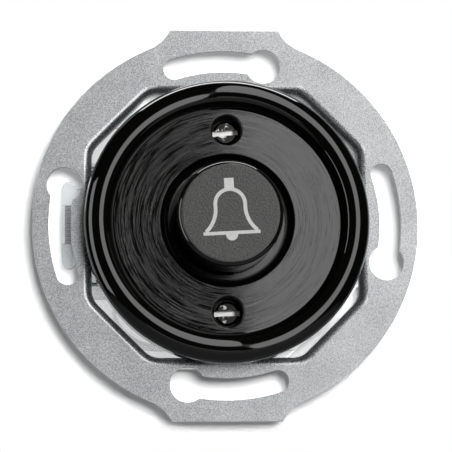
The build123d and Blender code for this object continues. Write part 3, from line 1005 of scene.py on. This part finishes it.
@dataclass
class ReturnSpring:
    """Coil spring with closed end turns between the lid and the button's roof."""

    wire_d: float = 0.9
    mean_d: float = 10.8
    turns: float = 6.0
    low: float = -4.0
    high: float = 10.0
    seat_gap: float = 0.05
    travel: float = 2.5
    closed_share: float = 0.55

    SIZES = ("Wire Radius", "Mean Radius", "Turns", "Rise", "Closed Share")
    SMOOTH_DEG = 50.0

    def recipe(self) -> Recipe:
        """A helix whose pitch eases at both ends, swept by a round wire.

        Returns:
            The recipe.
        """
        tree = Recipe("return_coil", self.SIZES)
        wire, mean, turns, rise, closed = tree.sizes
        path = {"Resolution": 40, "Rotations": turns, "Height": rise}
        path["Start Radius"] = path["End Radius"] = mean
        helix = tree.node("GeometryNodeCurveSpiral", inputs=path)
        along = tree.node("GeometryNodeSplineParameter")
        eased = along.between(0.0, 1.0)
        lift = tree.vector(0.0, 0.0, (eased - along) * closed * rise)
        coil = tree.node("GeometryNodeSetPosition", inputs={"Geometry": helix, "Offset": lift})
        section = {"Resolution": 14, "Radius": wire}
        round_wire = tree.node("GeometryNodeCurvePrimitiveCircle", inputs=section)
        sweep = {"Curve": coil, "Profile Curve": round_wire, "Fill Caps": True}
        tree.close(tree.node("GeometryNodeCurveToMesh", inputs=sweep))
        return tree

    def build(self) -> None:
        """Makes the spring."""
        wire_r = self.wire_d / 2
        start = self.low + wire_r + self.seat_gap
        rise = self.high - wire_r - self.seat_gap - start
        values = (wire_r, self.mean_d / 2, self.turns, rise, self.closed_share)
        mesh = self.recipe().bake(SPRING, values, self.SMOOTH_DEG)
        mesh.transform(Matrix.Translation((0.0, 0.0, start)))
        coil = place_piece("return_coil", mesh, SPRING)
        stand_for(coil, Body.INSERT, "return_spring")
        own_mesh(coil)


@dataclass
class ButtonGroup:
    """The button with its sign, its plunger and the spring under it."""

    def build(self) -> None:
        """Dresses the rigid pieces and makes the spring."""
        dress(BUTTON, "push_button")
        dress(PAINT, "bell_symbol")
        dress(NYLON, "plunger")
        dress(SILVER, "moving_contact_tip")
        ReturnSpring().build()


def strip(stations: Sequence[tuple[Vector, Vector, float]], thickness: float) -> bpy.types.Mesh:
    """Springy strip through a row of stations.

    Args:
        stations: Middle point, upward direction and half width at each station; the width lies along y.
        thickness: Thickness of the strip.

    Returns:
        A closed mesh.
    """
    work = bmesh.new()
    rows = []
    for middle, up, half in stations:
        side = Vector((0.0, half, 0.0))
        rise = up * thickness / 2
        corners = (rise - side, rise + side, side - rise, -side - rise)
        rows.append([work.verts.new(middle + corner) for corner in corners])
    for before, after in zip(rows, rows[1:]):
        for k in range(4):
            work.faces.new((before[k], before[(k + 1) % 4], after[(k + 1) % 4], after[k]))
    work.faces.new(rows[0])
    work.faces.new(rows[-1][::-1])
    mesh = bpy.data.meshes.new("strip")
    work.to_mesh(mesh)
    work.free()
    return tidy(mesh, STRIP_SMOOTH_DEG)


@dataclass
class ContactLeaf:
    """The bronze leaf that the plunger pushes down."""

    root: float = -14.0
    held_to: float = -9.0
    pressed_at: float = 0.0
    tip_x: float = 5.0
    width: float = 5.0
    least_half_w: float = 0.12
    thickness: float = 0.4
    middle_z: float = -6.15
    steps: int = 40

    def build(self) -> None:
        """Makes the leaf as a flat strip."""
        half = self.width / 2
        length = self.tip_x + half - self.root
        stations = []
        for k in range(self.steps + 1):
            x = self.root + length * math.sin(math.pi / 2 * k / self.steps)
            over = max(0.0, x - self.tip_x)
            wide = max(self.least_half_w, math.sqrt(max(0.0, half**2 - over**2)))
            stations.append((Vector((x, 0.0, self.middle_z)), Vector((0.0, 0.0, 1.0)), wide))
        leaf = place_piece("contact_leaf_strip", strip(stations, self.thickness), BRONZE)
        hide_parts("contact_leaf")
        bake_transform(leaf)


@dataclass
class ContactBase:
    """The clear base with the contacts and the lid that closes it."""

    screw_places: tuple[tuple[str, Point], ...] = (("right", (15.5, 9.2)), ("left", (-15.5, -9.2)))
    lid_front: float = -4.0

    def build(self, screws: Recipe) -> None:
        """Dresses the base and makes the leaf and the lid screws.

        Args:
            screws: The screw recipe.
        """
        dress(CLEAR, "base_housing", "contact_lid")
        dress(SHEET_BRASS, "leaf_terminal_bar", "fixed_contact_bar")
        dress(TURNED_BRASS, "leaf_rivet", "bar_rivet")
        dress(SILVER, "fixed_contact_tip")
        ContactLeaf().build()
        for side, place in self.screw_places:
            screw = SlottedScrew(
                "lid_screw_" + side, place, seat=self.lid_front, head_d=3.0, head_h=1.0, slot_w=0.5,
                slot_h=0.5, shank_d=1.76, shank_l=5.95, pitch=0.5,
            )
            screw.build(screws)


@dataclass
class TerminalGroup:
    """The clear release lever and the two spring clamps under it."""

    leg_x: float = -26.05
    tip_x: float = -21.55
    top: float = -6.6
    foot: float = -12.9
    floor: float = -15.45
    thickness: float = 0.4
    width: float = 4.0
    bend_r: float = 1.0
    pitch: float = 10.0
    arc_steps: int = 10
    leg_steps: int = 12

    def stations(self) -> list[tuple[Vector, Vector, float]]:
        """Path of a clamp: up the outer wall, round the bend and down to the tip.

        Returns:
            Stations for the strip.
        """
        slope = math.atan2(self.foot - self.top, self.tip_x - self.leg_x)
        turn = math.pi / 2 - slope
        reach = self.bend_r * math.tan(turn / 2)
        half = self.width / 2
        centre = Vector((self.leg_x + self.bend_r, 0.0, self.top - reach))
        made = [(Vector((self.leg_x, 0.0, self.floor)), Vector((-1.0, 0.0, 0.0)), half)]
        for k in range(self.arc_steps + 1):
            angle = math.pi - turn * k / self.arc_steps
            out = Vector((math.cos(angle), 0.0, math.sin(angle)))
            made.append((centre + out * self.bend_r, out, half))
        last, up, _ = made[-1]
        tip = Vector((self.tip_x, 0.0, self.foot))
        for k in range(1, self.leg_steps + 1):
            made.append((last.lerp(tip, k / self.leg_steps), up, half))
        return made

    def build(self) -> None:
        """Dresses the lever and makes the clamps."""
        dress(CLEAR, "release_lever")
        for side, hand in (("upper", 1), ("lower", -1)):
            mesh = strip(self.stations(), self.thickness)
            mesh.transform(Matrix.Translation((0.0, hand * self.pitch / 2, 0.0)))
            clamp = place_piece("clamp_strip_" + side, mesh, SPRING)
            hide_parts("clamp_spring_" + side)
            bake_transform(clamp)


def direction(azimuth: float, elevation: float) -> Vector:
    """Unit vector towards a place round the object.

    Args:
        azimuth: Degrees to the right of the front.
        elevation: Degrees above the horizon.

    Returns:
        The vector.
    """
    a, e = math.radians(azimuth), math.radians(elevation)
    return Vector((math.sin(a) * math.cos(e), -math.cos(a) * math.cos(e), math.sin(e)))


def circle(radius: float, points: int) -> list[Point]:
    """Points round a circle about the origin."""
    turns = [math.tau * k / points for k in range(points)]
    return [(radius * math.cos(t), radius * math.sin(t)) for t in turns]


@dataclass(frozen=True)
class Panel:
    """A soft light panel, placed by the direction in which the object sees it."""

    name: str
    azimuth: float
    elevation: float
    width: float
    height: float
    distance: float
    level: float
    mirrored: bool = True
    spread: bool = True
    oval: bool = False

    def hang(self) -> None:
        """Adds the lamp."""
        lamp = bpy.data.lights.new(self.name, "AREA")
        lamp.shape = "ELLIPSE" if self.oval else "RECTANGLE"
        lamp.size = self.width
        lamp.size_y = self.height
        share = math.pi / 4 if self.oval else 1.0
        lamp.energy = self.level * math.pi * self.width * self.height * share
        panel = bpy.data.objects.new(self.name, lamp)
        bpy.context.scene.collection.objects.link(panel)
        away = direction(self.azimuth, self.elevation)
        panel.location = away * self.distance
        panel.rotation_euler = away.to_track_quat("Z", "Y").to_euler()
        panel.visible_camera = False
        panel.visible_glossy = self.mirrored
        panel.visible_diffuse = self.spread
        panel.visible_transmission = False


@dataclass(frozen=True)
class Paper:
    """White paper, open from behind, with a brightness for each kind of ray.

    It fades out between two distances from the origin, in millimetres.
    """

    name: str
    seen_as: float
    through_as: float
    mirrored_as: float
    fade: Point
    bounced_as: float = 0.15

    def material(self) -> bpy.types.Material:
        """Makes the material.

        Returns:
            The material.
        """
        made = bpy.data.materials.new(self.name)
        made.use_nodes = True
        graph = Graph(made.node_tree)
        seen = graph.node("ShaderNodeLightPath", output="Is Camera Ray")
        through = graph.other(seen, "Is Transmission Ray")
        glossy = graph.other(seen, "Is Glossy Ray")
        tone = self.bounced_as + seen * (self.seen_as - self.bounced_as)
        tone = tone + through * (self.through_as - self.bounced_as)
        tone = tone + glossy * (self.mirrored_as - self.bounced_as)
        sheet = graph.node("ShaderNodeBsdfDiffuse", inputs={"Color": graph.vector(tone, tone, tone)})
        x, y, z = graph.axes()
        far = ((x * x + y * y + z * z) ** 0.5).between(*self.fade)
        rear = graph.node("ShaderNodeNewGeometry", output="Backfacing")
        none = graph.node("ShaderNodeBsdfTransparent")
        open_share = rear.math("MAXIMUM", far)
        shader = graph.node("ShaderNodeMixShader", inputs={0: open_share, 1: sheet, 2: none})
        graph.node("ShaderNodeOutputMaterial", inputs={"Surface": shader})
        return made


@dataclass
class Studio:
    """Camera, lamps, a white card with a hole (in millimetres) for the base, and a pale floor."""

    azimuth: float = -4.2
    elevation: float = -9.1
    distance: float = 0.4
    view_width: float = 0.08193
    roll_deg: float = -0.55
    aim: tuple[float, float, float] = (0.00009, 0.0, -0.00029)
    sensor: float = 36.0
    clip: Point = (0.01, 20.0)
    card_y: float = 0.0031
    card_r: float = 0.039
    card_points: int = 72
    card_paper: Paper = Paper("card_paper", 1.5, 1.2, 0.6, (36.6, 39.0))
    hole_half: float = 25.2
    hole_flat: float = 10.08
    bay_corner: Point = (-21.3, 18.3)
    lever_corner: Point = (-26.3, 13.3)
    floor_z: float = -0.16
    floor_r: float = 0.35
    floor_points: int = 96
    floor_paper: Paper = Paper("floor_paper", 3.0, 1.5, 0.35, (300.0, 380.0))
    ambient: float = 0.05
    room_dim: float = 0.01
    room_rear: Point = (0.35, 0.8)
    # name, azimuth, elevation, width, height, distance, level
    panels: tuple[Panel, ...] = (
        Panel("main_panel", 19.8, 17.0, 0.25, 1.00, 0.45, 2.75, spread=False, oval=True),
        Panel("low_panel", -9.0, -34.0, 0.24, 0.14, 0.45, 0.8, spread=False),
        Panel("left_strip", -68.0, 0.0, 0.22, 0.42, 0.45, 2.6, spread=False),
        Panel("top_strip", 0.0, 103.0, 0.50, 0.12, 0.45, 8.0, spread=False),
        Panel("key", 13.0, 13.0, 0.30, 0.30, 0.6, 11.8, mirrored=False),
        Panel("rear_panel", 205.0, 35.0, 0.50, 0.50, 0.6, 1.5),
    )

    def camera(self) -> None:
        """Adds the camera at the photograph's viewing angle."""
        lens = bpy.data.cameras.new("camera")
        lens.sensor_width = self.sensor
        lens.lens = self.sensor * self.distance / self.view_width
        lens.clip_start, lens.clip_end = self.clip
        camera = bpy.data.objects.new("camera", lens)
        bpy.context.scene.collection.objects.link(camera)
        back = direction(self.azimuth, self.elevation)
        camera.location = Vector(self.aim) + back * self.distance
        turn = (-back).to_track_quat("-Z", "Y").to_matrix()
        roll = Matrix.Rotation(math.radians(self.roll_deg), 3, "Z")
        camera.rotation_euler = (turn @ roll).to_euler()
        bpy.context.scene.camera = camera

    def world(self) -> None:
        """White behind the object, a dim room in front of it and even fill light."""
        world = bpy.data.worlds.new("studio")
        world.use_nodes = True
        bpy.context.scene.world = world
        graph = Graph(world.node_tree)
        path = graph.node("ShaderNodeLightPath", output="Is Camera Ray")
        seen = path.math("MAXIMUM", graph.other(path, "Is Transmission Ray"))
        glossy = graph.other(path, "Is Glossy Ray")
        towards = graph.node("ShaderNodeTexCoord", output="Generated")
        depth = graph.other(graph.node("ShaderNodeSeparateXYZ", inputs={0: towards}), 1)
        room = self.room_dim + depth.between(*self.room_rear) * (1.0 - self.room_dim)
        level = seen + (1 - seen) * (glossy * room + (1 - glossy) * self.ambient)
        white = {"Color": (1.0, 1.0, 1.0, 1.0), "Strength": level}
        light = graph.node("ShaderNodeBackground", inputs=white)
        graph.node("ShaderNodeOutputWorld", inputs={"Surface": light})

    def card_hole(self) -> list[Point]:
        """Outline round the base, its terminal bay and the lever.

        Returns:
            Corners, anticlockwise.
        """
        half, flat = self.hole_half, self.hole_flat
        bay_x, bay_z = self.bay_corner
        lever_x, lever_z = self.lever_corner
        right = [(half, -flat), (half, flat), (flat, half)]
        upper_left = [(-flat, half), (bay_z - half - flat, bay_z), (bay_x, bay_z), (lever_x, lever_z)]
        lower = [(lever_x, -lever_z), (half + lever_x - lever_z, -half), (flat, -half)]
        return right + upper_left + lower

    def card(self) -> bpy.types.Object:
        """The white card behind the ring.

        Returns:
            The card.
        """
        inner = [(x * MM, z * MM) for x, z in self.card_hole()]
        work = bmesh.new()
        edges = []
        for loop in (circle(self.card_r, self.card_points), inner):
            corners = [work.verts.new((x, self.card_y, z)) for x, z in loop]
            edges += [work.edges.new((a, b)) for a, b in zip(corners, corners[1:] + corners[:1])]
        bmesh.ops.triangle_fill(work, edges=edges, use_beauty=True, use_dissolve=False)
        for face in work.faces:
            face.normal_update()
            if face.normal.y > 0:
                face.normal_flip()
        mesh = bpy.data.meshes.new("wall_card")
        work.to_mesh(mesh)
        work.free()
        mesh.materials.append(self.card_paper.material())
        return bpy.data.objects.new("wall_card", mesh)

    def floor(self) -> bpy.types.Object:
        """The pale floor.

        Returns:
            The floor.
        """
        mesh = bpy.data.meshes.new("studio_floor")
        rim = [(x, y, self.floor_z) for x, y in circle(self.floor_r, self.floor_points)]
        mesh.from_pydata(rim, [], [tuple(range(self.floor_points))])
        mesh.materials.append(self.floor_paper.material())
        return bpy.data.objects.new("studio_floor", mesh)

    def build(self) -> None:
        """Sets up the studio."""
        bpy.context.scene.view_settings.view_transform = "Standard"
        card = self.card()
        for backdrop in (card, self.floor()):
            bpy.context.scene.collection.objects.link(backdrop)
        card.visible_shadow = False
        card.visible_glossy = False
        for panel in self.panels:
            panel.hang()
        self.world()
        self.camera()
        log.info("studio with %d panels", len(self.panels))


def main() -> None:
    """Builds the sub-assemblies in order, then the studio."""
    logging.basicConfig(level=logging.INFO, format="%(name)s: %(message)s")
    screws = SlottedScrew.recipe()
    SupportFrame().build()
    CoverGroup().build(screws)
    ButtonGroup().build()
    ContactBase().build(screws)
    TerminalGroup().build()
    Studio().build()
    bpy.context.view_layer.update()


if __name__ == "__main__":
    main()
